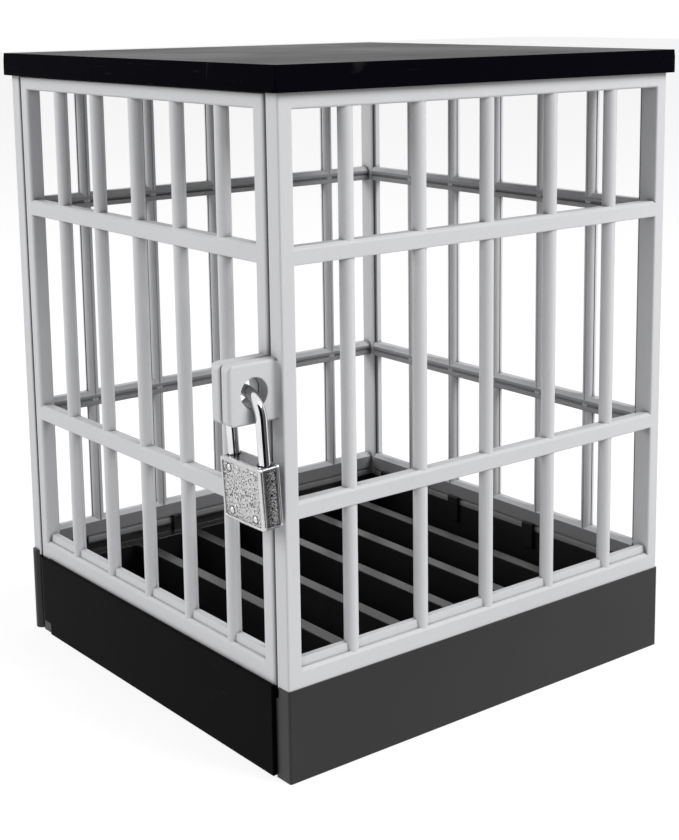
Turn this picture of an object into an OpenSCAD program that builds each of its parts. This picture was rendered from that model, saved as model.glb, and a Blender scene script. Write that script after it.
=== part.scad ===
// Lockable phone cage: a barred box on a ribbed base, with a black roof, a barred
// door with a twin-plate hasp, and a small riveted padlock through the hasp.
// Millimetres, Z up. The origin is in the middle of the base's underside, the
// door faces -Y and is hinged at its left edge.

/* [Cage] */
// Width over the left and right walls
cage_w = 143; // [130:1:170]
// Depth from the door's face to the back wall's face
cage_d = 143; // [130:1:170]
// Height over everything, from the table to the roof's top
cage_h = 188; // [170:1:230]
// Thickness of every barred panel
panel_t = 4.4; // [4:0.1:5]

/* [Grilles] */
// Bars in each panel
bar_count = 5; // [3:1:6]
// Diameter of a bar
bar_d = 4.3; // [3:0.1:5]
// Depth of a bar's middle behind the panel's face
bar_inset = 2.45; // [2.1:0.05:2.6]
// Step at the mould's parting line, half way through each bar
bar_step = 0.25; // [0.1:0.05:0.5]
// Middle-to-middle distance of the bars in the door and the back wall
front_pitch = 21.85; // [18:0.05:23]
// Middle-to-middle distance of the bars in the left and right walls
side_pitch = 24.6; // [18:0.05:25]
// Width of the upright at each end of a panel
stile_w = 4.5; // [4:0.1:6]
// Depth of the left wall's front post, seen from the front
left_post = 4.7; // [4.5:0.1:5]
// Depth of the right wall's front post, seen from the front
right_post = 5.2; // [5:0.1:6]
// Width of the side walls' rear posts, seen from the side
rear_post_w = 4; // [3.8:0.1:4.4]
// Depth of the side walls' rear posts, which the back wall slides into
rear_post = 6.3; // [6:0.1:8]
// Height of the lower middle rail's underside above the table
low_rail_z = 72; // [60:1:80]
// Height of the upper middle rail's underside above the table
high_rail_z = 138; // [125:1:145]
// Height of a middle rail
rail_h = 4.7; // [4.4:0.1:6]
// Height of the bottom rail's outer face
foot_rail_h = 5.7; // [5:0.1:7]
// How far the bottom rail's inner sill stands above its outer face
sill_h = 2.4; // [1.5:0.1:3]
// Height of the top rail that shows under the roof
top_rail_show = 4.3; // [3:0.1:8]
// Bevel along the outer upper edge of the rails
rail_bevel = 0.8; // [0.4:0.1:1]
// Width of the groove along the inner face of the rails
groove_w = 0.9; // [0.5:0.1:1]
// Depth of that groove
groove_d = 0.7; // [0.3:0.1:0.9]

/* [Base] */
// Height of the base's outer wall
base_h = 25.8; // [22:0.1:32]
// How far the base's wall stands proud of the panels
base_proud = 0.3; // [0.2:0.1:1]
// Depth of the rebate that the panels stand in
seat_depth = 0.4; // [0.2:0.1:1]
// Depth of the ribs' tops below the base's upper edge
deck_drop = 3.4; // [2:0.1:6]
// Number of ribs between the phone slots
rib_count = 5; // [3:1:6]
// Thickness of a rib
rib_w = 4.1; // [3.5:0.1:5]
// Thickness of the floor and of the hollow ribs' tops
floor_t = 2; // [1.5:0.1:3]
// Thickness of the base's moulded walls
base_wall = 1.6; // [1.4:0.1:2]
// Radius of the base's upright corners
base_corner = 0.6; // [0.4:0.1:2.6]
// Width of the ledge at the left and right ends of the slots
end_ledge = 4.3; // [3:0.1:6]
// Depth of the sill behind the door, at the left
front_sill = 11.4; // [9:0.1:14]
// How far the finger relief reaches into that sill
relief_depth = 5; // [2:0.1:6]
// Place of the relief's left end, measured from the cage's middle
relief_x = -34; // [-45:1:0]

/* [Roof] */
// Height of the roof slab
roof_h = 6.8; // [6:0.1:10]
// Overhang of the roof past the panels at its lower edge
roof_over = 2; // [1.6:0.1:4]
// How much narrower the roof is at its top edge, on each side
roof_draft = 0.5; // [0:0.1:1]
// Thickness of the roof's top
roof_t = 2.4; // [1.8:0.1:3]
// Radius of the roof's upright corners
roof_corner = 1.2; // [0.6:0.1:2]

/* [Door] */
// Width of the door's right upright, which carries a hasp plate
lock_stile_w = 4.9; // [4.4:0.1:6]
// Gap between the left post and the door
hinge_gap = 0.7; // [0.6:0.05:1.2]
// Gap between the door and the right post
latch_gap = 1; // [0.6:0.1:1.5]
// Gap between the door's top and the roof
top_gap = 0.4; // [0.3:0.1:1]
// Gap between the skirt and the table
floor_gap = 0.4; // [0.3:0.1:2]
// Distance of the hinge axis from the door's left edge
pivot_x = 2.25; // [2.1:0.05:2.4]
// Distance of the hinge axis behind the door's face
pivot_y = 2.1; // [2:0.05:2.2]
// Diameter of the hinge pins
pin_d = 2; // [1.6:0.1:2.2]
// Length of the hinge pins
pin_len = 14; // [11:0.5:18]
// Depth of the hinge pins' running ends in the base and the roof
pin_run = 3; // [2:0.1:3]
// How far the black skirt stands in front of the door's bars
skirt_proud = 1.2; // [0.6:0.1:1.6]
// Thickness of the skirt's plate
skirt_t = 2.2; // [1.8:0.1:2.4]
// Height of the base's foot under the hinge barrel
foot_h = 3.7; // [3.4:0.1:6]
// Width of the tongues that hold the door to its skirt
tongue_w = 10; // [7:0.5:14]
// Thickness of those tongues
tongue_t = 1.4; // [1:0.1:1.5]
// Length of those tongues below the door
tongue_len = 10; // [8:0.5:14]

/* [Hasp] */
// How far both hasp plates stand out in front of the door
hasp_reach = 14.7; // [13:0.1:18]
// Height of the hasp plates
hasp_h = 15.9; // [14:0.1:20]
// Height of the hasp hole's middle above the table
hasp_z = 106.7; // [95:0.1:118]
// Distance of the hasp hole's middle in front of the door
hasp_out = 7.1; // [7:0.1:8]
// Diameter of the hasp hole
hasp_hole = 8.2; // [7.8:0.1:9]
// Thickness of the plate on the door
tab_t = 4; // [3:0.1:4]
// Thickness of the plate on the right post
plate_t = 3.7; // [3:0.1:4]
// Gap between the two plates
plate_gap = 0.43; // [0.3:0.01:0.8]
// Radius of the plates' outer corners
hasp_corner = 2; // [1:0.1:3]
// Radius of the plates' upright front edges
hasp_nose = 0.9; // [0.4:0.1:1.2]
// Bevel along the plates' long edges
hasp_ease = 0.5; // [0.2:0.1:0.8]

/* [Padlock] */
// Width of the padlock's body
lock_w = 18.1; // [17.6:0.1:20]
// Height of the padlock's body
lock_h = 16.8; // [16:0.1:20]
// Thickness of the padlock's body between its covers
lock_core_t = 4.4; // [4.2:0.1:5]
// Thickness of each cover
cover_t = 0.95; // [0.8:0.05:1.2]
// Depth of the sunken grained panels
panel_sink = 0.25; // [0.15:0.05:0.4]
// Width of the polished border round those panels
border_w = 1; // [0.6:0.1:1.6]
// Radius of the padlock's corners, seen from the front
lock_corner = 1.2; // [0.6:0.1:1.6]
// Bevel on the covers' outer edges
cover_bevel = 0.4; // [0.2:0.1:0.6]
// Diameter of the shackle's wire
wire_d = 3.1; // [2.8:0.1:3.2]
// Distance between the shackle's legs, middle to middle
leg_pitch = 13.7; // [13.6:0.1:14.2]
// Distance from the hasp hole's middle to the padlock body's top
lock_drop = 18.3; // [17.5:0.1:20]
// Depth of the long leg in the body
long_leg = 11.5; // [11.2:0.1:12]
// Depth of the short leg in the body
short_leg = 6.3; // [6.1:0.1:6.6]
// How far the body drops when the padlock opens
lock_travel = 6.8; // [6.6:0.1:7]
// Lean of the hanging padlock towards the door, in degrees
lock_lean = 3.5; // [0:0.5:4]
// Shift of the padlock's middle from the middle of the hasp plates
lock_shift = -0.5; // [-0.6:0.1:0.6]
// Distance of the rivets from the body's sides
rivet_side = 3.8; // [3.7:0.05:3.9]
// Distance of the rivets from the body's top and bottom
rivet_end = 2.6; // [2.4:0.1:2.8]
// Diameter of the rivets' shanks
rivet_d = 1; // [0.8:0.1:1.1]
// Diameter of the rivets' domed heads
head_d = 2; // [1.4:0.1:2]
// Diameter of the key plug
plug_d = 3.4; // [3:0.1:3.5]
// Number of wafers in the key plug
wafer_count = 3; // [2:1:3]
// Distance of the cam's middle from the key plug's axis
cam_throw = 0.9; // [0.8:0.05:0.95]
// Thickness of the latch
latch_t = 1.1; // [0.9:0.1:1.2]

/* [Hidden] */
$fn = 48;

// Colours, as the photograph shows them
grille_grey = [0.82, 0.82, 0.84];
gloss_black = [0.07, 0.07, 0.08];
chrome = [0.80, 0.80, 0.82];
steel = [0.62, 0.63, 0.65];
brass = [0.80, 0.66, 0.35];

// Clearances: a small overrun for clean cuts, a running fit, a fixed fit, a snap
// fit between moulded parts, and the play of the padlock's sliding pieces
eps = 0.01;
run_fit = 0.06;
fixed_fit = 0.02;
snap_gap = 0.15;
slide_gap = 0.08;
swing_gap = 0.3;

// Faces of the cage
x_out = cage_w / 2;
y_out = cage_d / 2;
seat_z = base_h - seat_depth;
roof_z = cage_h - roof_h;
panel_top = cage_h - roof_t;
top_rail_z = roof_z - top_rail_show;
deck_z = base_h - deck_drop;
panel_h = panel_top - seat_z;
groove_z = 1.5;

// The door's edges and its hinge axis
door_l = -x_out + left_post + hinge_gap;
door_r = x_out - right_post - latch_gap;
door_w = door_r - door_l;
door_top = roof_z - top_gap;
hinge_x = door_l + pivot_x;
hinge_y = -y_out + pivot_y;
skirt_y = -y_out - skirt_proud;
barrel_r = hinge_y - skirt_y;
post_fillet = 0.5;
door_fillet = 1;

// The space in the base that the skirt and the hinge barrel move in
skirt_back = -y_out + panel_t + 0.2;
nose_r = 2.125;
nose_y = skirt_y + nose_r;
nose_rise = 0.9;
strip_l = -x_out - base_proud + 2 * nose_r;
strip_r = door_r + 0.45;
foot_gap = 0.3;
barrel_z = foot_h + foot_gap;

// Phone slots: the ribs divide the space between the sill and the back panel
slot_front = -y_out + panel_t + 0.2 + front_sill;
slot_back = y_out - panel_t;
slot_x = x_out - panel_t - end_ledge;
slot_pitch = (slot_back - slot_front + rib_w) / (rib_count + 1);
rib_bottom_z = floor_t;

// Snap hooks on the base that hold the three fixed walls
hook_w = 5;
hook_t = 1.2;
hook_root = 3;
hook_nib = groove_d - 0.2;
hook_pitch = 38;
hook_z = seat_z + groove_z + 0.15;
hook_rise = groove_w - 0.3;
hook_top = hook_z + hook_rise + 0.4;

// The hasp's plates, from the door's edge outwards
tab_x = door_r - 0.23 - tab_t;
plate_x = tab_x + tab_t + plate_gap;
plate_end = plate_x + plate_t;
hasp_y = -y_out - hasp_out;
plate_fillet = 1.2;

// The padlock hangs from its pivot: the wire's place in the hasp hole
wire_r = wire_d / 2;
leg_x = leg_pitch / 2;
lock_x = (tab_x + plate_end) / 2 + lock_shift;
grip_dx = max(plate_end - lock_x, lock_x - tab_x);
bow_inner = leg_x - wire_r;
bow_z = hasp_z - hasp_hole / 2 - sqrt(bow_inner * bow_inner - grip_dx * grip_dx) + 0.1;
pivot_z = bow_z + leg_x - 0.9;
bow_c = bow_z - pivot_z;

// Heights inside the padlock, measured from its pivot
lock_top = hasp_z - lock_drop - pivot_z;
lock_bot = lock_top - lock_h;
core_y = lock_core_t / 2;
cover_y = core_y + cover_t;
bore_r = wire_r + slide_gap;
long_end = lock_top - long_leg;
short_end = lock_top - short_leg;
long_bore = lock_bot + 1.3;
short_bore = short_end - 0.5;
rivet_x = lock_w / 2 - rivet_side;
rivet_top = lock_top - rivet_end;
rivet_low = lock_bot + rivet_end;
neck_top = rivet_top + rivet_d / 2 + 0.3;
neck_bot = long_end + 0.8;
neck_r = leg_x - rivet_x - rivet_d / 2 - 0.2;

// The lock's works: plug, cam, latch and springs
plug_r = plug_d / 2;
plug_bore = plug_r + run_fit;
plug_bot = lock_bot + 0.2;
latch_z = short_end + 0.6;
latch_top = latch_z + latch_t;
plug_top = latch_z - 0.8;
cam_d = 1;
latch_throw = cam_throw * sqrt(2);
latch_w = 3;
latch_gap_z = 0.1;
latch_r_in = leg_x - bore_r - 0.2;
latch_l = -3.6;
channel_l = -4.9;
spring_pocket = 1.9;
retainer_d = 0.8;
retainer_z = plug_top - 2.8;
retainer_x = plug_r + 0.2;
groove_r = retainer_x - retainer_d / 2 - 0.25;
keyway_w = 2.4;
keyway_t = 0.7;
wafer_t = 0.45;
wafer_w = 2.9;
wafer_d = 1.6;
wafer_pitch = 1.2;
wafer_z = plug_bot + 1.3;

// Springs: turns of unbroken round wire, swept with a few sides
coil_sides = 6;
coil_steps = 12;
shackle_wire = 0.4;
shackle_coil_r = leg_x - rivet_x - rivet_d / 2 - shackle_wire / 2 - 0.1;
shackle_turns = 3.5;
latch_wire = 0.2;
latch_coil_r = 0.48;
latch_turns = 4;

// A box between two corners
module block(x0, x1, y0, y1, z0, z1) {
    translate([x0, y0, z0])
        cube([x1 - x0, y1 - y0, z1 - z0]);
}

// An upright block whose four upright edges are rounded
module round_block(x0, x1, y0, y1, z0, z1, r) {
    block(x0 + r, x1 - r, y0, y1, z0, z1);
    block(x0, x1, y0 + r, y1 - r, z0, z1);
    for (x = [x0 + r, x1 - r], y = [y0 + r, y1 - r])
        translate([x, y, z0])
            cylinder(r = r, h = z1 - z0);
}

// A profile in the panel's depth and height, run along the panel
module along(u0, u1) {
    translate([u0, 0, 0])
        rotate([90, 0, 90])
            linear_extrude(u1 - u0)
                children();
}

// A panel is drawn with u to the right, its outer face at depth 0 and its depth
// inwards along +Y. These place it on its own side of the cage.
module on_front() translate([0, -y_out, 0]) children();
module on_back() translate([0, y_out, 0]) rotate([0, 0, 180]) children();
module on_right() translate([x_out, 0, 0]) rotate([0, 0, 90]) children();
module on_left() translate([-x_out, 0, 0]) rotate([0, 0, -90]) children();

// Rail section: flat outer face with a bevelled upper edge, grooved inner face
module rail_section(h, sill) {
    inner_bevel = 1;
    t = panel_t;
    sill_step = sill > 0 ? [[rail_bevel + 0.6, h + 0.1], [rail_bevel + 0.8, h + sill]] : [];
    polygon(concat(
        [[0, 0], [0, h - rail_bevel], [rail_bevel, h]],
        sill_step,
        [[t - inner_bevel, h + sill], [t, h + sill - inner_bevel - 0.3],
         [t, groove_z + groove_w], [t - groove_d, groove_z + groove_w - 0.1],
         [t - groove_d, groove_z + 0.1], [t, groove_z], [t, 0]]));
}

module rail(u0, u1, z, h, sill = 0) {
    along(u0, u1)
        translate([0, z])
            rail_section(h, sill);
}

// Top rail: a plain strip whose lower outer edge is eased
module top_rail(u0, u1, z0, z1) {
    ease = 0.4;
    along(u0, u1)
        polygon([[0, z0 + ease], [ease, z0], [panel_t, z0], [panel_t, z1], [0, z1]]);
}

// One bar: a round outer half and a slightly narrower inner half
module bar(u, z0, z1) {
    r = bar_d / 2;
    translate([u, bar_inset, z0]) {
        intersection() {
            cylinder(r = r, h = z1 - z0);
            block(-r, r, -r, 0, 0, z1 - z0);
        }
        intersection() {
            cylinder(r = r - bar_step, h = z1 - z0);
            block(-r, r, -eps, panel_t - bar_inset, 0, z1 - z0);
        }
    }
}

// Rails and bars between the inner faces of a panel's uprights. The rails run
// on into the uprights by lap, past the uprights' rounded edges.
module grille(u0, u1, z0, z1, pitch, mid = 0, lap = 0) {
    sink = 0.5;
    rail(u0 - lap, u1 + lap, z0, foot_rail_h, sill_h);
    rail(u0 - lap, u1 + lap, low_rail_z, rail_h);
    rail(u0 - lap, u1 + lap, high_rail_z, rail_h);
    top_rail(u0 - lap, u1 + lap, top_rail_z, z1);
    for (i = [0 : bar_count - 1])
        bar(mid + (i - (bar_count - 1) / 2) * pitch, z0 + foot_rail_h - rail_bevel - sink,
            top_rail_z + sink);
}

function hook_places(reach) =
    [for (i = [-1.5 : 1 : 1.5]) if (abs(i * hook_pitch) < reach - hook_w) i * hook_pitch];

side_hooks = hook_places(y_out);
back_hooks = hook_places(x_out - rear_post);

// A snap hook of the base, drawn in the same frame as the panel that it holds.
// Its nib reaches into the groove of the panel's bottom rail.
module hook(u) {
    inner = panel_t + 0.05;
    block(u - hook_w / 2, u + hook_w / 2, inner, inner + hook_t, deck_z - hook_root, hook_top);
    block(u - hook_w / 2, u + hook_w / 2, inner - 0.5, inner + eps, deck_z - hook_root, seat_z);
    along(u - hook_w / 2, u + hook_w / 2)
        polygon([[inner, hook_z], [inner - hook_nib, hook_z + hook_rise / 6],
                 [inner - hook_nib, hook_z + hook_rise / 2], [inner, hook_z + hook_rise]]);
}

// A side wall seen from outside, its front post at u_front, its rear post opposite.
// The rear post is grooved for the back wall's tongue.
module side_wall(front_side, post_depth) {
    f = front_side;
    front_u = f * (y_out - stile_w);
    rear_u = -f * (y_out - rear_post_w);
    u0 = min(front_u, rear_u);
    u1 = max(front_u, rear_u);
    fit = snap_gap / 2;
    difference() {
        union() {
            grille(u0, u1, seat_z, panel_top, side_pitch, (front_u + rear_u) / 2, post_fillet + 0.2);
            round_block(min(front_u, f * y_out), max(front_u, f * y_out), 0, post_depth,
                seat_z, panel_top, post_fillet);
            round_block(min(rear_u, -f * y_out), max(rear_u, -f * y_out), 0, rear_post,
                seat_z, panel_top, post_fillet);
        }
        block(min(rear_groove(f, 0), rear_groove(f, 1)), max(rear_groove(f, 0), rear_groove(f, 1)),
            rear_post - back_tongue_l - fit, rear_post + eps, seat_z - eps, panel_top + eps);
    }
}

// The groove's two faces along u, measured from the back of the cage
back_tongue_t = 1.8;
back_tongue_l = 4;
back_tongue_in = 1.2;
function rear_groove(f, k) = -f * (y_out - back_tongue_in - k * back_tongue_t
    + (k == 0 ? 1 : -1) * snap_gap / 2);

module left_wall() {
    color(grille_grey)
        on_left()
            side_wall(1, left_post);
}

// The right wall carries the outer plate of the hasp on its front post
module right_wall() {
    color(grille_grey) {
        difference() {
            union() {
                on_right()
                    side_wall(-1, right_post);
                hasp_plate(plate_x, plate_t, 0.6);
                hasp_fillet();
            }
            hasp_bore();
        }
    }
}

// A hasp plate with rounded outer corners and eased edges, rooted in the part
// behind it
module hasp_plate(x, t, root) {
    z0 = hasp_z - hasp_h / 2;
    z1 = hasp_z + hasp_h / 2;
    y0 = -y_out - hasp_reach;
    y1 = -y_out + root;
    r = hasp_corner;
    e = hasp_ease;
    n = hasp_nose;
    intersection() {
        union() {
            block(x, x + t, y0 + r, y1, z0, z1);
            block(x, x + t, y0, y0 + r + eps, z0 + r, z1 - r);
            for (z = [z0 + r, z1 - r])
                translate([x, y0 + r, z])
                    rotate([0, 90, 0])
                        cylinder(r = r, h = t);
        }
        // the long edges, eased
        translate([0, y1 + 1, 0])
            rotate([90, 0, 0])
                linear_extrude(y1 - y0 + 2)
                    polygon([[x + e, z0], [x + t - e, z0], [x + t, z0 + e], [x + t, z1 - e],
                             [x + t - e, z1], [x + e, z1], [x, z1 - e], [x, z0 + e]]);
        // the upright front edges, rounded
        union() {
            block(x, x + t, y0 + n, y1 + 1, z0 - 1, z1 + 1);
            block(x + n, x + t - n, y0, y0 + n + eps, z0 - 1, z1 + 1);
            for (c = [x + n, x + t - n])
                translate([c, y0 + n, z0 - 1])
                    cylinder(r = n, h = z1 - z0 + 2);
        }
    }
}

module hasp_bore() {
    translate([tab_x - 1, hasp_y, hasp_z])
        rotate([0, 90, 0])
            cylinder(d = hasp_hole, h = plate_end - tab_x + 2);
}

// The hollow corner between the outer plate and the post's front face
module hasp_fillet() {
    f = plate_fillet;
    h = hasp_h - 2 * hasp_ease;
    translate([0, 0, hasp_z - h / 2])
        difference() {
            block(plate_end - eps, plate_end + f, -y_out - f, -y_out + post_fillet + eps, 0, h);
            translate([plate_end + f, -y_out - f, -eps])
                cylinder(r = f, h = h + 2 * eps);
        }
}

// The back wall has no uprights of its own that show: its ends are thin tongues
// that slide down the grooves of the side walls' rear posts
module back_wall() {
    half = x_out - rear_post - snap_gap;
    tongue = half + back_tongue_l;
    color(grille_grey)
        on_back() {
            grille(-half, half, seat_z, panel_top, front_pitch);
            for (s = [-1, 1])
                block(min(s * (half - 1), s * tongue), max(s * (half - 1), s * tongue),
                    back_tongue_in, back_tongue_in + back_tongue_t, seat_z, panel_top);
        }
}

// The door's grille: its left upright turns on the hinge pins, its right one
// carries the inner plate of the hasp
module door_grille() {
    color(grille_grey)
        difference() {
            union() {
                on_front() {
                    grille(door_l + stile_w, door_r - lock_stile_w, seat_z, door_top, front_pitch,
                        (door_l + door_r) / 2, door_fillet + 0.2);
                    door_stile(door_l, door_l + stile_w);
                    door_stile(door_r - lock_stile_w, door_r);
                }
                hasp_plate(tab_x, tab_t, panel_t - 1);
                for (x = tongue_places)
                    door_tongue(x);
            }
            hasp_bore();
            translate([hinge_x, hinge_y, door_top - pin_len + pin_run])
                cylinder(d = pin_d + 2 * fixed_fit, h = pin_len);
        }
}

tongue_places = [-1, 0, 1] * (door_w * 0.31);

module door_stile(u0, u1) {
    difference() {
        block(u0, u1, 0, panel_t, seat_z, door_top);
        corner_cut(u0, 1, door_fillet);
        corner_cut(u1, -1, door_fillet);
    }
}

// Rounds one upright front corner of the door, so that it clears the post
module corner_cut(u, s, r) {
    translate([u, 0, seat_z - eps])
        difference() {
            block(min(-s * eps, s * r), max(-s * eps, s * r), -eps, r, 0, panel_h);
            translate([s * r, r, -eps])
                cylinder(r = r, h = panel_h + 2 * eps);
        }
}

// A tongue of the grille that snaps down behind the skirt's plate
tongue_y = -y_out - skirt_proud + skirt_t + 0.1;
tongue_hole_w = 4;
tongue_hole_h = 2.4;
tongue_hole_z = seat_z - tongue_len + 2.2;

module door_tongue(x) {
    difference() {
        block(x - tongue_w / 2, x + tongue_w / 2, tongue_y, tongue_y + tongue_t,
            seat_z - tongue_len, seat_z + 1);
        block(x - tongue_hole_w / 2, x + tongue_hole_w / 2, tongue_y - eps,
            tongue_y + tongue_t + eps, tongue_hole_z, tongue_hole_z + tongue_hole_h);
    }
}

// The black skirt covers the front of the base and swings with the door
module door_skirt() {
    lip_t = skirt_proud - 0.1;
    plate_back = skirt_y + skirt_t;
    notch_x = hinge_x + barrel_r + 2 * foot_gap;
    color(gloss_black)
        difference() {
            union() {
                block(hinge_x, door_r, skirt_y, plate_back, floor_gap, seat_z);
                block(hinge_x + barrel_r, door_r, skirt_y, skirt_y + lip_t, seat_z - eps, base_h);
                translate([hinge_x, hinge_y, barrel_z])
                    cylinder(r = barrel_r, h = seat_z - barrel_z);
                for (x = tongue_places)
                    skirt_staple(x, plate_back);
                for (z = [floor_gap + 4, seat_z - tongue_len - 1.5])
                    block(hinge_x + barrel_r, door_r - 1, plate_back - eps, plate_back + 1, z - 0.6, z + 0.6);
            }
            block(hinge_x - barrel_r - 1, notch_x, skirt_y - 1, plate_back + 3, -1, barrel_z);
            translate([hinge_x, hinge_y, barrel_z - 1])
                cylinder(d = pin_d + 2 * fixed_fit, h = pin_len - pin_run + 1.2);
        }
}

// The bridge behind the skirt's plate that a tongue of the grille passes through
module skirt_staple(x, back) {
    cheek = 1.5;
    side = tongue_w / 2 + snap_gap;
    strap_y = tongue_y + tongue_t + 0.1;
    strap_t = 1;
    z0 = seat_z - tongue_len + 0.6;
    z1 = seat_z - 1.6;
    for (s = [-1, 1])
        block(x + min(s * side, s * (side + cheek)), x + max(s * side, s * (side + cheek)),
            back - eps, strap_y + strap_t, z0, z1);
    block(x - side - cheek, x + side + cheek, strap_y, strap_y + strap_t, z0, z1);
    block(x - tongue_hole_w / 2 + 0.2, x + tongue_hole_w / 2 - 0.2, back - eps, back + 1,
        tongue_hole_z + 0.2, tongue_hole_z + 1.4);
}

module upper_hinge_pin() {
    color(steel)
        translate([hinge_x, hinge_y, door_top - pin_len + pin_run + 0.2])
            cylinder(d = pin_d, h = pin_len - 0.2);
}

module lower_hinge_pin() {
    color(steel)
        translate([hinge_x, hinge_y, barrel_z - pin_run])
            cylinder(d = pin_d, h = pin_len);
}

// The base: an open ribbed tray, cored from below, cut back at the front for the
// skirt, with a foot under the hinge barrel and hooks for the three fixed walls
module base_tray() {
    x1 = x_out + base_proud;
    y1 = y_out + base_proud;
    y0 = -y_out - 0.2;
    color(gloss_black) {
        difference() {
            union() {
                difference() {
                    round_block(-x1, x1, y0, y1, 0, base_h, base_corner);
                    block(-x1 - 1, strip_l + eps, y0 - 1, nose_y, -1, base_h + 1);
                }
                // the round nose that fills the front left corner beside the skirt
                translate([strip_l - nose_r, nose_y, 0])
                    cylinder(r = nose_r, h = base_h + nose_rise);
            }
            // the rebate that the panels stand in, and the deck inside it
            block(-x_out, x_out, -y_out, y_out, seat_z, base_h + 1);
            block(-x_out + left_post, x_out - panel_t, -y_out - 1, y_out - panel_t, deck_z, base_h + 1);
            block(strip_l, strip_r, y0 - 1, skirt_back, foot_h, base_h + 1);
            // the skirt's recess, down to the table except at the hinge's foot
            difference() {
                block(strip_l, strip_r, y0 - 1, skirt_back, -1, foot_h + 1);
                translate([hinge_x, hinge_y, -1])
                    cylinder(r = barrel_r, h = foot_h + 1);
                block(hinge_x - barrel_r, hinge_x + barrel_r, hinge_y, skirt_back + 1, -1, foot_h);
                block(strip_l - 1, hinge_x, hinge_y + 0.2, skirt_back + 1, -1, foot_h);
            }
            translate([hinge_x, hinge_y, foot_h])
                cylinder(r = barrel_r + foot_gap, h = base_h);
            // the hole for the lower hinge pin
            translate([hinge_x, hinge_y, barrel_z - pin_run - 0.2])
                cylinder(d = pin_d + 2 * run_fit, h = pin_run + 1);
            phone_slots();
            base_coring();
        }
        on_left()
            for (u = side_hooks)
                hook(u);
        on_right()
            for (u = side_hooks)
                hook(u);
        on_back()
            for (u = back_hooks)
                hook(u);
    }
}

// The slots that the phones stand in, with a finger relief in the sill
module phone_slots() {
    r = 2;
    for (i = [0 : rib_count])
        round_block(-slot_x, slot_x, slot_front + i * slot_pitch,
            slot_front + (i + 1) * slot_pitch - rib_w, rib_bottom_z, base_h + 1, r);
    round_block(relief_x, slot_x, slot_front - relief_depth, slot_front + slot_pitch - rib_w,
        rib_bottom_z, base_h + 1, r);
}

// Hollows in the ribs, the end ledges and the sill, open at the underside
module base_coring() {
    ceiling = deck_z - floor_t;
    for (i = [1 : rib_count])
        block(-slot_x + base_wall, slot_x - base_wall,
            slot_front + i * slot_pitch - rib_w + (rib_w - 1.2) / 2,
            slot_front + i * slot_pitch - (rib_w - 1.2) / 2, -1, ceiling);
    for (s = [-1, 1])
        block(min(s * (slot_x + base_wall), s * (x_out + base_proud - 2)),
            max(s * (slot_x + base_wall), s * (x_out + base_proud - 2)),
            slot_front, slot_back - base_wall, -1, ceiling);
    block(hinge_x + barrel_r + 3, slot_x, skirt_back + base_wall,
        slot_front - relief_depth - base_wall, -1, ceiling);
}

// The roof: a drafted lid whose rim laps the walls, with a boss for the upper
// hinge pin and ribs that locate the walls' top rails
module roof_cover() {
    rim = 0.2;
    lug_t = 1.2;
    lug_l = 14;
    lug_h = 3;
    lug_gap = 0.1;
    color(gloss_black) {
        difference() {
            roof_shell();
            block(-x_out - rim, x_out + rim, -y_out - rim, y_out + rim, roof_z - 1, panel_top);
        }
        difference() {
            translate([hinge_x, hinge_y, door_top + pin_run - 2.4])
                cylinder(r = pin_d / 2 + 1.5, h = panel_top - door_top - pin_run + 2.4 + eps);
            translate([hinge_x, hinge_y, roof_z - 1])
                cylinder(d = pin_d + 2 * run_fit, h = door_top + pin_run + 0.2 - roof_z + 1);
        }
        for (u = [-1, 1] * (cage_d / 4)) {
            on_left()
                roof_lug(u, lug_l, panel_t + lug_gap, lug_t, lug_h);
            on_right()
                roof_lug(u, lug_l, panel_t + lug_gap, lug_t, lug_h);
            on_back()
                roof_lug(u, lug_l, panel_t + lug_gap, lug_t, lug_h);
        }
    }
}

module roof_lug(u, l, v, t, h) {
    block(u - l / 2, u + l / 2, v, v + t, panel_top - h, panel_top + eps);
}

// The roof's outside: two drafted prisms crossed, with rounded upright corners
module roof_shell() {
    bx = x_out + roof_over;
    by = y_out + roof_over;
    intersection() {
        round_block(-bx, bx, -by, by, roof_z, cage_h, roof_corner);
        rotate([90, 0, 0])
            linear_extrude(2 * by + 2, center = true)
                polygon([[-bx, roof_z], [bx, roof_z], [bx - roof_draft, cage_h], [-bx + roof_draft, cage_h]]);
        rotate([90, 0, 90])
            linear_extrude(2 * bx + 2, center = true)
                polygon([[-by, roof_z], [by, roof_z], [by - roof_draft, cage_h], [-by + roof_draft, cage_h]]);
    }
}

// Everything on the padlock is drawn from its pivot in the hasp, then leaned
module hang() {
    translate([lock_x, hasp_y, pivot_z])
        rotate([lock_lean, 0, 0])
            children();
}

module padlock_shackle() {
    color(chrome)
        hang()
            difference() {
                union() {
                    translate([0, 0, bow_c])
                        rotate([90, 0, 0])
                            rotate_extrude(angle = 180)
                                translate([leg_x, 0])
                                    circle(r = wire_r);
                    translate([-leg_x, 0, long_end])
                        shackle_leg(bow_c - long_end, neck_bot - long_end, neck_top - long_end);
                    translate([leg_x, 0, short_end])
                        cylinder(r = wire_r, h = bow_c - short_end);
                }
                // the notch that the latch enters
                block(0, leg_x - 0.2, -wire_d, wire_d, latch_z - 0.15, latch_top + 0.15);
            }
}

// The long leg, with the neck that lets it slide past its rivet
module shackle_leg(h, neck_0, neck_1) {
    cylinder(r = wire_r, h = neck_0);
    translate([0, 0, neck_0 - eps])
        cylinder(r = neck_r, h = neck_1 - neck_0 + 2 * eps);
    translate([0, 0, neck_1])
        cylinder(r = wire_r, h = h - neck_1);
}

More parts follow.
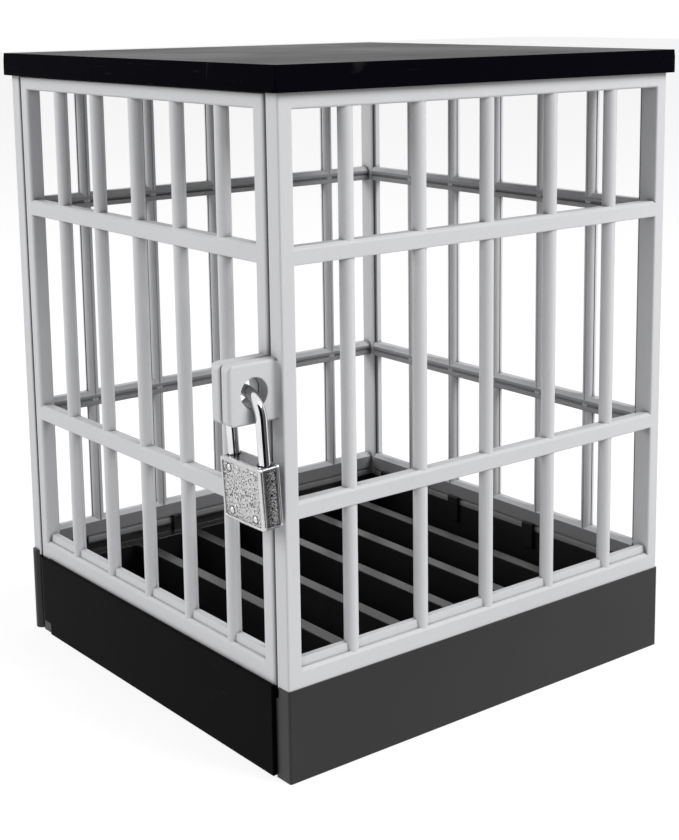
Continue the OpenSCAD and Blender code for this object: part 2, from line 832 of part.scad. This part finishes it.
// A slab from y0 to y1 with the padlock's outline, drawn in by inset, its corners
// rounded by r
module lock_slab(y0, y1, inset, r) {
    x = lock_w / 2 - inset;
    z0 = lock_bot + inset;
    z1 = lock_top - inset;
    block(-x + r, x - r, y0, y1, z0, z1);
    block(-x, x, y0, y1, z0 + r, z1 - r);
    for (cx = [-x + r, x - r], cz = [z0 + r, z1 - r])
        translate([cx, y0, cz])
            rotate([-90, 0, 0])
                cylinder(r = r, h = y1 - y0);
}

// The padlock's core: bores for the legs, the plug and the latch, sunken sides
module padlock_body() {
    collar = 0.35;
    color(steel)
        hang()
            difference() {
                lock_slab(-core_y, core_y, 0, lock_corner);
                for (s = [-1, 1])
                    block(min(s * (lock_w / 2 - panel_sink), s * lock_w), max(s * (lock_w / 2 - panel_sink), s * lock_w),
                        -core_y + 0.4, core_y - 0.4, lock_bot + border_w, lock_top - border_w);
                translate([-leg_x, 0, long_bore])
                    cylinder(r = bore_r, h = lock_h);
                translate([leg_x, 0, short_bore])
                    cylinder(r = bore_r, h = lock_h);
                for (s = [-1, 1])
                    translate([s * leg_x, 0, lock_top - collar])
                        cylinder(r1 = bore_r, r2 = bore_r + collar, h = collar + eps);
                translate([0, 0, lock_bot - 1])
                    cylinder(r = plug_bore, h = latch_z - lock_bot + 1);
                block(channel_l, leg_x, -latch_w / 2 - slide_gap, latch_w / 2 + slide_gap,
                    latch_z - latch_gap_z, latch_top + latch_gap_z);
                rivet_holes();
                translate([retainer_x, 0, retainer_z])
                    rotate([90, 0, 0])
                        cylinder(d = retainer_d + 2 * fixed_fit, h = lock_core_t + 1, center = true);
            }
}

module at_rivets() {
    for (place = [[-rivet_x, rivet_top], [-rivet_x, rivet_low], [rivet_x, rivet_low]])
        translate([place[0], 0, place[1]])
            rotate([90, 0, 0])
                children();
}

module rivet_holes() {
    at_rivets()
        cylinder(d = rivet_d + 2 * fixed_fit, h = 4 * cover_y, center = true);
}

// A cover plate: bevelled edge, sunken panel, polished border
module cover(side) {
    w = lock_w / 2;
    b = cover_bevel;
    difference() {
        intersection() {
            lock_slab(-cover_y, -core_y, 0, lock_corner);
            linear_extrude(4 * lock_h + 4 * lock_w, center = true)
                polygon([[-w, -core_y], [-w, -cover_y + b], [-w + b, -cover_y],
                         [w - b, -cover_y], [w, -cover_y + b], [w, -core_y]]);
            rotate([90, 0, 90])
                linear_extrude(4 * lock_h + 4 * lock_w, center = true)
                    polygon([[-core_y, lock_bot], [-cover_y + b, lock_bot], [-cover_y, lock_bot + b],
                             [-cover_y, lock_top - b], [-cover_y + b, lock_top], [-core_y, lock_top]]);
        }
        lock_slab(-cover_y - 1, -cover_y + panel_sink, border_w, lock_corner / 2);
        rivet_holes();
    }
}

module padlock_front_cover() {
    color(chrome)
        hang()
            cover();
}

module padlock_back_cover() {
    color(chrome)
        hang()
            mirror([0, 1, 0])
                cover();
}

// Three rivets with a domed head at each end, which clamp the covers to the
// core. The upper one also keeps the long leg in the body, by its neck.
module padlock_rivets() {
    head_h = 0.35;
    face = cover_y - panel_sink;
    dome_r = (head_d * head_d / 4 + head_h * head_h) / (2 * head_h);
    color(chrome)
        hang()
            at_rivets() {
                cylinder(d = rivet_d, h = 2 * face, center = true);
                for (s = [0, 1])
                    mirror([0, 0, s])
                        translate([0, 0, face])
                            intersection() {
                                translate([0, 0, head_h - dome_r])
                                    sphere(r = dome_r);
                                cylinder(d = head_d, h = head_h);
                            }
            }
}

// The key plug, with its keyway, wafer slots, retainer groove and cam
module key_plug() {
    color(brass)
        hang()
            difference() {
                union() {
                    translate([0, 0, plug_bot])
                        cylinder(r = plug_r, h = plug_top - plug_bot);
                    translate([cam_x(), cam_y(), plug_top - 1])
                        cylinder(d = cam_d, h = latch_top - plug_top + 0.9);
                }
                block(-keyway_w / 2, keyway_w / 2, -keyway_t / 2, keyway_t / 2,
                    plug_bot - 1, retainer_z - 1.2);
                for (i = [0 : wafer_count - 1])
                    block(-plug_d, plug_d, -wafer_d / 2 - 0.05, wafer_d / 2 + 0.05,
                        wafer_z + i * wafer_pitch - 0.05, wafer_z + i * wafer_pitch + wafer_t + 0.05);
                translate([0, 0, retainer_z - retainer_d / 2 - 0.15])
                    difference() {
                        cylinder(r = plug_d, h = retainer_d + 0.3);
                        translate([0, 0, -1])
                            cylinder(r = groove_r, h = retainer_d + 3);
                    }
            }
}

// The cam pin starts an eighth of a turn to the left of the plug's middle line
function cam_x() = -cam_throw * cos(45);
function cam_y() = cam_throw * sin(45);

// Wafers, drawn level with the plug's surface as the right key holds them
module plug_wafers() {
    color(brass)
        hang()
            for (i = [0 : wafer_count - 1])
                difference() {
                    block(-wafer_w / 2, wafer_w / 2, -wafer_d / 2, wafer_d / 2,
                        wafer_z + i * wafer_pitch, wafer_z + i * wafer_pitch + wafer_t);
                    block(-keyway_w / 2 + 0.2, keyway_w / 2 - 0.2, -keyway_t / 2, keyway_t / 2,
                        wafer_z - 1, wafer_z + wafer_count * wafer_pitch + 1);
                }
}

// The cross pin in the plug's groove, which keeps the plug in the core
module plug_retainer() {
    color(steel)
        hang()
            translate([retainer_x, 0, retainer_z])
                rotate([90, 0, 0])
                    cylinder(d = retainer_d, h = lock_core_t - 0.04, center = true);
}

// The latch: a sliding bar with a yoke for the cam and a pocket for its spring.
// It is drawn withdrawn, as the key leaves it before the padlock is locked; a
// quarter turn of the plug sends it into the short leg's notch.
module locking_latch() {
    slot = cam_d + 0.2;
    pocket_r = latch_coil_r + latch_wire / 2 + 0.1;
    color(steel)
        hang()
            difference() {
                block(latch_l, latch_r_in, -latch_w / 2, latch_w / 2, latch_z, latch_top);
                block(cam_x() - slot / 2, cam_x() + slot / 2, -0.2, latch_w, latch_z - 1, latch_top + 1);
                block(latch_l - 1, latch_l + spring_pocket, -pocket_r, pocket_r, latch_z - 1, latch_top + 1);
            }
}

// A coil as one unbroken tube: rings of wire sections along a helix, closed at
// both ends. It stands on z = 0 and is length long over its wire.
module coil(radius, wire, turns, length) {
    rings = turns * coil_steps;
    rise = length - wire;
    points = [for (i = [0 : rings], j = [0 : coil_sides - 1])
        let (a = 360 * i / coil_steps, b = 360 * j / coil_sides,
             r = radius + wire / 2 * cos(b))
            [r * cos(a), r * sin(a), wire / 2 + rise * i / rings + wire / 2 * sin(b)]];
    walls = [for (i = [0 : rings - 1], j = [0 : coil_sides - 1])
        let (k = (j + 1) % coil_sides, m = i * coil_sides)
            each [[m + j, m + coil_sides + j, m + k], [m + k, m + coil_sides + j, m + coil_sides + k]]];
    first = [[for (j = [0 : coil_sides - 1]) j]];
    last = [[for (j = [coil_sides - 1 : -1 : 0]) rings * coil_sides + j]];
    polyhedron(concat([for (p = points) p]), concat(walls, first, last));
    echo(coil_gap = rise / turns - wire);
}

module shackle_spring() {
    color(steel)
        hang()
            translate([-leg_x, 0, long_bore + 0.05])
                coil(shackle_coil_r, shackle_wire, shackle_turns, long_end - long_bore - 0.1);
}

module latch_spring() {
    color(steel)
        hang()
            translate([channel_l + 0.05, 0, latch_z + latch_t / 2])
                rotate([0, 90, 0])
                    coil(latch_coil_r, latch_wire, latch_turns, latch_l + spring_pocket - channel_l - 0.1);
}

base_tray();
roof_cover();
left_wall();
right_wall();
back_wall();
door_grille();
door_skirt();
upper_hinge_pin();
lower_hinge_pin();
padlock_body();
padlock_front_cover();
padlock_back_cover();
padlock_rivets();
padlock_shackle();
shackle_spring();
key_plug();
plug_wafers();
plug_retainer();
locking_latch();
latch_spring();
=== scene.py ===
# Dresses the phone lock cage: procedural materials, soft studio light and the camera.
import math

import bpy
from mathutils import Matrix, Vector


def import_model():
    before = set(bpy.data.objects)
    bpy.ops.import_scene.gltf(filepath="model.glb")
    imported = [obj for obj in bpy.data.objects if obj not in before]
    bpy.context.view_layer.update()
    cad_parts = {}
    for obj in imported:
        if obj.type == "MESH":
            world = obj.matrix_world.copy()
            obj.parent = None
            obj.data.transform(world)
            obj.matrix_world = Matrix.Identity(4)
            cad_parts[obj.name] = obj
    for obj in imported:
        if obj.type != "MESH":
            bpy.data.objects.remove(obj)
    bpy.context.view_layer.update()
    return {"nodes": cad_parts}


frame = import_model()
nodes = frame["nodes"]

# Places on the object, in metres, in the CAD frame

# The padlock hangs from the pivot, and leans back from it
LOCK_PIVOT = Vector((0.064635, -0.0786, 0.105957))
LOCK_LEAN = math.radians(3.5)
# In the padlock's own frame: the sunken middles of its covers and sides, from its own middle
COVER_MIDDLE_Y = 0.0029
SIDE_MIDDLE_X = 0.0088
MIDDLE_TOLERANCE = 0.0001
# The rivets' places from the pivot, and the ring of painted shade round their heads
RIVETS = ((-0.00525, -0.02016), (-0.00525, -0.03177), (0.00525, -0.03177))
SHADE_RING_RADIUS = 0.00128
SHADE_RING_FADE = 0.00012
# Painted shade on the padlock grows towards its front over this depth
FRONT_SHADE_DEPTH = 0.005
FRONT_SHADE_AT_MIDDLE = 0.6
# Faces above ROOF_TOP_Z are the roof's top; between the tray's heights are its deck and ribs
ROOF_TOP_Z = 0.187
TRAY_TOPS_Z = (0.008, 0.0245)
# How straight a face has to look along a direction to count as facing it
FACING = 0.9
FACING_SQUARELY = 0.99

# The studio, in metres
FLOOR_Z = -0.0002
FLOOR_HALF = 6.0
LAMP_AIM = (0, 0, 0.08)
LAMP_SIZE = 0.7
WORLD_STRENGTH = 0.33

# The camera as fitted to the photograph: its place in mm, its turns in radians, its focal length
# and its middle in the photograph's pixels. The fit counts y from FIT_ZERO_Y in the CAD frame.
PHOTO_W, PHOTO_H = 679, 840
SENSOR = 36
FIT_PLACE = Vector((387.34, -223.79, 203.0))
FIT_ZERO_Y = -71.5
FIT_PITCH, FIT_ROLL, FIT_YAW = -0.1743, 0.0087, 0.8886
FIT_FOCAL = 1579.0
FIT_MIDDLE = (382.98, 278.88)


def grey(v, tint=(1, 1, 1)):
    return (v * tint[0], v * tint[1], v * tint[2], 1)


# Material helpers


class Shader:
    """A material being built: makes nodes, links them and ends in a Principled BSDF."""

    def __init__(self, name):
        self.mat = bpy.data.materials.new(name)
        self.mat.use_nodes = True
        self.tree = self.mat.node_tree
        self.tree.nodes.clear()
        out = self.node("ShaderNodeOutputMaterial")
        self.bsdf = self.node("ShaderNodeBsdfPrincipled")
        self.put(self.bsdf.outputs["BSDF"], out.inputs["Surface"])
        self.place = self.node("ShaderNodeTexCoord").outputs["Object"]

    def node(self, kind, **values):
        n = self.tree.nodes.new(kind)
        for key, value in values.items():
            setattr(n, key, value)
        return n

    def put(self, value, socket):
        """Links a node's output to the socket, or sets it to a plain value."""
        if isinstance(value, bpy.types.NodeSocket):
            self.tree.links.new(value, socket)
        else:
            socket.default_value = value

    def surface(self, **values):
        """Sets the Principled BSDF's inputs; an underscore stands for a space."""
        for key, value in values.items():
            self.put(value, self.bsdf.inputs[key.replace("_", " ")])

    def noise(self, scale, detail, rough, stretch=(1, 1, 1), distort=0.0):
        m = self.node("ShaderNodeMapping")
        m.inputs["Scale"].default_value = stretch
        self.put(self.place, m.inputs["Vector"])
        n = self.node("ShaderNodeTexNoise")
        n.inputs["Scale"].default_value = scale
        n.inputs["Detail"].default_value = detail
        n.inputs["Roughness"].default_value = rough
        n.inputs["Distortion"].default_value = distort
        self.put(m.outputs["Vector"], n.inputs["Vector"])
        return n.outputs["Fac"]

    def ramp(self, source, stops, smooth=False):
        """Maps source to colours or plain values by (place, value) stops."""
        r = self.node("ShaderNodeValToRGB")
        if smooth:
            r.color_ramp.interpolation = "EASE"
        for item, (place, value) in zip(r.color_ramp.elements, stops):
            item.position = place
            item.color = value if isinstance(value, tuple) else (value, value, value, 1)
        self.put(source, r.inputs["Fac"])
        return r.outputs["Color"]

    def math(self, kind, a, b, clamp=False):
        n = self.node("ShaderNodeMath", operation=kind, use_clamp=clamp)
        self.put(a, n.inputs[0])
        self.put(b, n.inputs[1])
        return n.outputs[0]

    def mix(self, fac, a, b):
        """The colour a, turned into b by fac."""
        n = self.node("ShaderNodeMix", data_type="RGBA")
        for i, value in ((0, fac), (6, a), (7, b)):
            self.put(value, n.inputs[i])
        return n.outputs[2]

    def crevices(self, reach, most):
        """Up to most, in the corners within reach, and 0 on open faces."""
        ao = self.node("ShaderNodeAmbientOcclusion", samples=8)
        ao.inputs["Distance"].default_value = reach
        hidden = self.ramp(ao.outputs["AO"], ((0.4, 1.0), (0.85, 0.0)), True)
        return self.math("MULTIPLY", hidden, most)

    def relief(self, radius, height, strength, distance):
        """Rounds the edges by radius, with a height map on top."""
        bevel = self.node("ShaderNodeBevel", samples=6)
        bevel.inputs["Radius"].default_value = radius
        bump = self.node("ShaderNodeBump")
        bump.inputs["Strength"].default_value = strength
        bump.inputs["Distance"].default_value = distance
        self.put(height, bump.inputs["Height"])
        self.put(bevel.outputs["Normal"], bump.inputs["Normal"])
        self.surface(Normal=bump.outputs["Normal"])


# Materials


def grille_plastic(name, shade_reach, shade):
    """Light grey satin ABS: faint flow marks, fine grain, painted shade in the grooves, and
    painted shade from what stands within shade_reach."""
    s = Shader(name)
    tint = (0.985, 0.99, 1.015)
    flow = s.noise(9, 3, 0.55, (1, 1, 0.35))
    col = s.ramp(flow, ((0.3, grey(0.63, tint)), (0.7, grey(0.675, tint))))
    speck = s.ramp(s.noise(900, 2, 0.6), ((0.30, 1.0), (0.38, 0.0)))
    col = s.mix(s.math("MULTIPLY", speck, 0.10), col, grey(0.42, tint))
    # Painted shade: darker in the grooves, and darker again where other parts stand within
    # shade_reach
    col = s.mix(s.crevices(0.0025, 0.6), col, grey(0.16, tint))
    col = s.mix(s.crevices(shade_reach, shade), col, grey(0.13, tint))
    smear = s.ramp(s.noise(35, 4, 0.6), ((0.3, 0.34), (0.7, 0.46)))
    s.surface(Base_Color=col, Roughness=smear, IOR=1.5, Specular_IOR_Level=0.5)
    s.relief(0.0005, s.noise(1600, 2, 0.5), 0.10, 0.00005)
    return s.mat


def black_plastic(name, color, gloss, rough):
    """Moulded black: slight orange peel, dust, and fine rubbed scratches."""
    s = Shader(name)
    scratch_a = s.noise(60, 2, 0.5, (1, 1, 24), 0.6)
    scratch_b = s.noise(60, 2, 0.5, (22, 1.2, 1), 0.6)
    marks = s.math("MAXIMUM", s.ramp(scratch_a, ((0.70, 0.0), (0.76, 1.0))),
                   s.ramp(scratch_b, ((0.72, 0.0), (0.78, 1.0))))
    haze = s.ramp(s.noise(14, 4, 0.6), ((0.3, rough * 0.8), (0.75, rough * 1.25)))
    rubbed = s.math("ADD", haze, s.math("MULTIPLY", marks, 0.10), True)
    dust = s.ramp(s.noise(700, 2, 0.7), ((0.68, 0.0), (0.80, 1.0)))
    col = s.mix(s.math("MULTIPLY", dust, 0.06), color + (1,), grey(0.16))
    col = s.mix(s.math("MULTIPLY", marks, 0.04), col, grey(0.25))
    s.surface(Base_Color=col, Roughness=rubbed, IOR=1.49, Specular_IOR_Level=gloss)
    s.relief(0.0005, s.noise(120, 2, 0.5), 0.03, 0.0002)
    return s.mat


def metal(name, color, rough, stretch=(1, 1, 1), grain=0.05, edge=0.00015):
    """Bare metal: directional grain in roughness and height, faint tarnish, painted shade in the
    crevices.
    """
    s = Shader(name)
    dark = tuple(c * 0.82 for c in color) + (1,)
    light = tuple(min(1, c * 1.06) for c in color) + (1,)
    tarnish = s.ramp(s.noise(60, 4, 0.6), ((0.3, dark), (0.7, light)))
    # Painted shade in the crevices
    col = s.mix(s.crevices(0.0006, 0.9), tarnish, grey(0.01))
    brush = s.noise(500, 3, 0.6, stretch)
    worn = s.ramp(brush, ((0.3, rough * 0.75), (0.7, min(1, rough * 1.3))))
    s.surface(Base_Color=col, Roughness=worn, Metallic=1.0)
    s.relief(edge, brush, grain, 0.00004)
    return s.mat


def in_lock(s):
    """The place from the pivot, in the leaning padlock."""
    place = s.node("ShaderNodeMapping", vector_type="TEXTURE")
    place.inputs["Location"].default_value = LOCK_PIVOT
    place.inputs["Rotation"].default_value = (LOCK_LEAN, 0, 0)
    s.put(s.place, place.inputs["Vector"])
    return place.outputs["Vector"]


def near_rivets(s, place):
    """1 round the rivet heads, 0 away from them."""
    flat = s.node("ShaderNodeVectorMath", operation="MULTIPLY")
    flat.inputs[1].default_value = (1, 0, 1)
    s.put(place, flat.inputs[0])
    nearest = 1.0
    for x, z in RIVETS:
        away = s.node("ShaderNodeVectorMath", operation="DISTANCE")
        away.inputs[1].default_value = (x, 0, z)
        s.put(flat.outputs["Vector"], away.inputs[0])
        nearest = s.math("MINIMUM", nearest, away.outputs["Value"])
    return s.math("MULTIPLY", s.math("SUBTRACT", SHADE_RING_RADIUS, nearest), 1 / SHADE_RING_FADE, True)


def pebbled_metal(name, light, dark, rough, size, relief_depth, tarnish=0.0):
    """Plated metal with a cast pebble grain of about size, painted shade in its pits, along the
    rims and round the rivets, and painted shade towards the padlock's front, as strong as
    tarnish."""
    s = Shader(name)
    pebbles = s.noise(1 / size, 1.5, 0.45, (1, 1, 1), 0.4)
    fine = s.noise(2.6 / size, 1, 0.5)
    height = s.math("ADD", s.math("MULTIPLY", pebbles, 1.5), s.math("MULTIPLY", fine, 0.35))
    place = in_lock(s)
    depth = s.node("ShaderNodeSeparateXYZ")
    s.put(place, depth.inputs["Vector"])
    front = s.math("SUBTRACT", FRONT_SHADE_AT_MIDDLE,
                   s.math("MULTIPLY", depth.outputs["Y"], 1 / FRONT_SHADE_DEPTH), True)
    painted_shade_tone = grey(dark * 0.1)
    # Painted shade in the pits: the grain's colour is dark where its height map is low
    col = s.ramp(pebbles, ((0.38, grey(dark)), (0.48, grey(light))), True)
    # Painted shade along the rims
    col = s.mix(s.crevices(0.0007, 0.9), col, painted_shade_tone)
    # Painted shade in a ring round the rivet heads
    col = s.mix(s.math("MULTIPLY", near_rivets(s, place), 0.85), col, painted_shade_tone)
    # Painted shade towards the padlock's front, as strong as tarnish
    col = s.mix(s.math("MULTIPLY", front, tarnish), col, painted_shade_tone)
    worn = s.ramp(s.noise(300, 3, 0.6), ((0.3, rough * 0.8), (0.7, rough * 1.3)))
    s.surface(Base_Color=col, Roughness=worn, Metallic=1.0)
    s.relief(0.0001, height, 1.0, relief_depth)
    return s.mat


grille_mat = grille_plastic("grille_plastic", 0.018, 0.45)
# The same plastic with deeper painted shade, for the walls' inner faces
grille_inner_painted_shade_mat = grille_plastic("grille_plastic_inner_painted_shade", 0.15, 0.78)
# The black parts' tones are set apart as painted light and shade: the roof's edges and the skirt
# are darker than the base
roof_mat = black_plastic("roof_black", (0.0026, 0.0024, 0.0042), 0.003, 0.25)
# The roof's top: painted light makes it greyer than the edges
roof_top_painted_light_mat = black_plastic("roof_top_black_painted_light", (0.036, 0.036, 0.037), 0.035, 0.43)
base_mat = black_plastic("base_black", (0.0088, 0.0088, 0.0090), 0.40, 0.36)
# The tray's deck: smoother, and a little lighter as painted light
tray_top_mat = black_plastic("tray_top_black", (0.014, 0.014, 0.0145), 0.65, 0.30)
# The skirt is painted darker than the base, as painted shade
skirt_painted_shade_mat = black_plastic("skirt_black_painted_shade", (0.0036, 0.0036, 0.0037), 0.012, 0.30)
chrome_mat = metal("shackle_chrome", (0.80, 0.80, 0.82), 0.07, (1, 1, 0.1))
cover_mat = metal("cover_polish", (0.60, 0.60, 0.61), 0.12, edge=0.0005)
grain_mat = pebbled_metal("cover_grain", 0.56, 0.13, 0.22, 0.00052, 0.00026)
# The side grain gets strong painted shade towards the front
side_grain_mat = pebbled_metal("side_grain", 0.85, 0.03, 0.22, 0.0005, 0.00016, 0.99)
rivet_mat = metal("rivet_heads", (0.66, 0.66, 0.67), 0.26, edge=0.0003)
core_mat = metal("lock_core", (0.20, 0.20, 0.21), 0.18, (1, 1, 8), 0.1, 0.0004)
steel_mat = metal("steel", (0.58, 0.58, 0.60), 0.24, (1, 1, 6), 0.2)
brass_mat = metal("brass", (0.80, 0.58, 0.24), 0.24, (6, 6, 1), 0.2)

MATERIALS = {
    "base_tray": base_mat, "roof_cover": roof_mat, "door_skirt": skirt_painted_shade_mat,
    "left_wall": grille_mat, "right_wall": grille_mat, "back_wall": grille_mat,
    "door_grille": grille_mat, "upper_hinge_pin": steel_mat, "lower_hinge_pin": steel_mat,
    "padlock_body": core_mat, "padlock_front_cover": cover_mat, "padlock_back_cover": cover_mat,
    "padlock_rivets": rivet_mat, "padlock_shackle": chrome_mat, "shackle_spring": steel_mat,
    "key_plug": brass_mat, "plug_wafers": brass_mat, "plug_retainer": steel_mat,
    "locking_latch": steel_mat, "latch_spring": steel_mat,
}
for name, mat in MATERIALS.items():
    mesh = nodes[name].data
    mesh.materials.clear()
    mesh.materials.append(mat)


# Second finishes, on some of a node's faces


def refinish(name, mat, chosen):
    """Gives mat to the node's faces whose centre and normal are chosen."""
    mesh = nodes[name].data
    mesh.materials.append(mat)
    for face in mesh.polygons:
        if chosen(face.center, face.normal):
            face.material_index = 1


# The roof's top is duller than its edges, and greyer as painted light
refinish("roof_cover", roof_top_painted_light_mat, lambda c, n: n.z > FACING and c.z > ROOF_TOP_Z)

# The walls' flat inner faces look across the cage and get painted shade from the walls, roof and
# tray round them
INWARD = {"left_wall": Vector((1, 0, 0)), "right_wall": Vector((-1, 0, 0)),
          "back_wall": Vector((0, -1, 0)), "door_grille": Vector((0, 1, 0))}
for wall, inward in INWARD.items():
    refinish(wall, grille_inner_painted_shade_mat, lambda c, n: n.dot(inward) > FACING_SQUARELY)

# The tray's deck and rib tops are smoother than its outside, and a little lighter as painted
# light
refinish("base_tray", tray_top_mat,
         lambda c, n: n.z > FACING and TRAY_TOPS_Z[0] < c.z < TRAY_TOPS_Z[1])

# The sunken middles of the padlock's faces are grained
to_lock = (Matrix.Translation(LOCK_PIVOT) @ Matrix.Rotation(LOCK_LEAN, 4, "X")).inverted()
turn_to_lock = to_lock.to_3x3()


def sunken(c, n, axis, away):
    """Whether a face lies away from the padlock's middle along the axis, and faces along it."""
    return (abs((turn_to_lock @ n)[axis]) > FACING
            and abs(abs((to_lock @ c)[axis]) - away) < MIDDLE_TOLERANCE)


for cover in ("padlock_front_cover", "padlock_back_cover"):
    refinish(cover, grain_mat, lambda c, n: sunken(c, n, 1, COVER_MIDDLE_Y))
refinish("padlock_body", side_grain_mat, lambda c, n: sunken(c, n, 0, SIDE_MIDDLE_X))


# Studio: floor, world, lamps, reflection cards


def add_object(name, data):
    obj = bpy.data.objects.new(name, data)
    bpy.context.collection.objects.link(obj)
    return obj


def quad(name, corners, mat):
    mesh = bpy.data.meshes.new(name)
    mesh.from_pydata(corners, [], [(0, 1, 2, 3)])
    mesh.materials.append(mat)
    return add_object(name, mesh)


def lit_and_seen(tree, lit, seen):
    """The shader seen for camera, glossy and transmission rays, and lit for all others."""
    path = tree.nodes.new("ShaderNodeLightPath")
    total = path.outputs["Is Camera Ray"]
    for kind in ("Is Glossy Ray", "Is Transmission Ray"):
        most = tree.nodes.new("ShaderNodeMath")
        most.operation = "MAXIMUM"
        tree.links.new(total, most.inputs[0])
        tree.links.new(path.outputs[kind], most.inputs[1])
        total = most.outputs[0]
    mix = tree.nodes.new("ShaderNodeMixShader")
    tree.links.new(total, mix.inputs[0])
    tree.links.new(lit, mix.inputs[1])
    tree.links.new(seen, mix.inputs[2])
    return mix.outputs[0]


def floor_material(glow, catch, bounce):
    """White with the object's soft shadow where it is seen; plain diffuse in the light it gives
    back."""
    mat = bpy.data.materials.new("floor")
    mat.use_nodes = True
    tree = mat.node_tree
    tree.nodes.clear()
    out = tree.nodes.new("ShaderNodeOutputMaterial")
    plain = tree.nodes.new("ShaderNodeBsdfDiffuse")
    plain.inputs["Color"].default_value = grey(bounce)
    shadow = tree.nodes.new("ShaderNodeBsdfDiffuse")
    shadow.inputs["Color"].default_value = grey(catch)
    white = tree.nodes.new("ShaderNodeEmission")
    white.inputs["Strength"].default_value = glow
    both = tree.nodes.new("ShaderNodeAddShader")
    tree.links.new(shadow.outputs[0], both.inputs[0])
    tree.links.new(white.outputs[0], both.inputs[1])
    tree.links.new(lit_and_seen(tree, plain.outputs[0], both.outputs[0]), out.inputs["Surface"])
    return mat


def floor():
    corners = [(x * FLOOR_HALF, y * FLOOR_HALF, FLOOR_Z)
               for x, y in ((-1, -1), (1, -1), (1, 1), (-1, 1))]
    quad("floor", corners, floor_material(0.80, 0.32, 0.7))


def world():
    """A soft light all round, and plain white where it is seen."""
    w = bpy.data.worlds.new("studio")
    bpy.context.scene.world = w
    w.use_nodes = True
    tree = w.node_tree
    tree.nodes.clear()
    out = tree.nodes.new("ShaderNodeOutputWorld")
    backgrounds = []
    for strength in (WORLD_STRENGTH, 1.0):
        background = tree.nodes.new("ShaderNodeBackground")
        background.inputs["Color"].default_value = grey(1)
        background.inputs["Strength"].default_value = strength
        backgrounds.append(background.outputs[0])
    tree.links.new(lit_and_seen(tree, *backgrounds), out.inputs["Surface"])


def lamp(name, where, watts):
    """A square soft box that points at the object."""
    light = bpy.data.lights.new(name, "AREA")
    light.shape = "RECTANGLE"
    light.size = light.size_y = LAMP_SIZE
    light.energy = watts
    obj = add_object(name, light)
    obj.location = where
    obj.rotation_euler = (Vector(LAMP_AIM) - Vector(where)).to_track_quat("-Z", "Y").to_euler()


def reflector(name, azimuth, away, width, low, high, tone):
    """A standing card beside the padlock, seen only in reflections. Azimuth 0 is +X, 90 is +Y."""
    a = math.radians(azimuth)
    middle = Vector((LOCK_PIVOT.x + away * math.cos(a), LOCK_PIVOT.y + away * math.sin(a),
                     (low + high) / 2))
    across = Vector((-math.sin(a), math.cos(a), 0)) * width / 2
    up = Vector((0, 0, (high - low) / 2))
    mat = bpy.data.materials.new(name)
    mat.use_nodes = True
    bsdf = mat.node_tree.nodes["Principled BSDF"]
    bsdf.inputs["Base Color"].default_value = grey(tone)
    bsdf.inputs["Roughness"].default_value = 1.0
    bsdf.inputs["Specular IOR Level"].default_value = 0.0
    obj = quad(name, [middle - across - up, middle + across - up,
                      middle + across + up, middle - across + up], mat)
    obj.visible_camera = False
    obj.visible_diffuse = False
    obj.visible_shadow = False
    obj.visible_transmission = False


def camera():
    """The camera of the fit, with the photograph's off-centre middle as lens shift."""
    turn = Matrix.Rotation(FIT_YAW, 3, "Z") @ Matrix.Rotation(FIT_PITCH, 3, "X")
    right, forward, up = turn.col[0].copy(), turn.col[1].copy(), turn.col[2].copy()
    c, s = math.cos(FIT_ROLL), math.sin(FIT_ROLL)
    right, up = right * c - up * s, right * s + up * c
    pose = Matrix((right, up, -forward)).transposed().to_4x4()
    pose.translation = (FIT_PLACE + Vector((0, FIT_ZERO_Y, 0))) / 1000
    cam = bpy.data.cameras.new("camera")
    cam.sensor_fit = "AUTO"
    cam.sensor_width = SENSOR
    cam.lens = FIT_FOCAL / PHOTO_H * SENSOR
    cam.shift_x = (PHOTO_W / 2 - FIT_MIDDLE[0]) / PHOTO_H
    cam.shift_y = (FIT_MIDDLE[1] - PHOTO_H / 2) / PHOTO_H
    cam.clip_start, cam.clip_end = 0.01, 50
    obj = add_object("camera", cam)
    obj.matrix_world = pose
    bpy.context.scene.camera = obj


floor()
world()
lamp("key", (1.0, 0.55, 0.85), 13.5)
lamp("side", (-0.65, -1.05, 0.75), 10.0)
reflector("card_front", -20, 0.20, 0.187, 0.001, 0.26, 0.01)
reflector("card_right", 32, 0.16, 0.17, 0.001, 0.20, 0.15)
camera()
bpy.context.scene.view_settings.view_transform = "Standard"
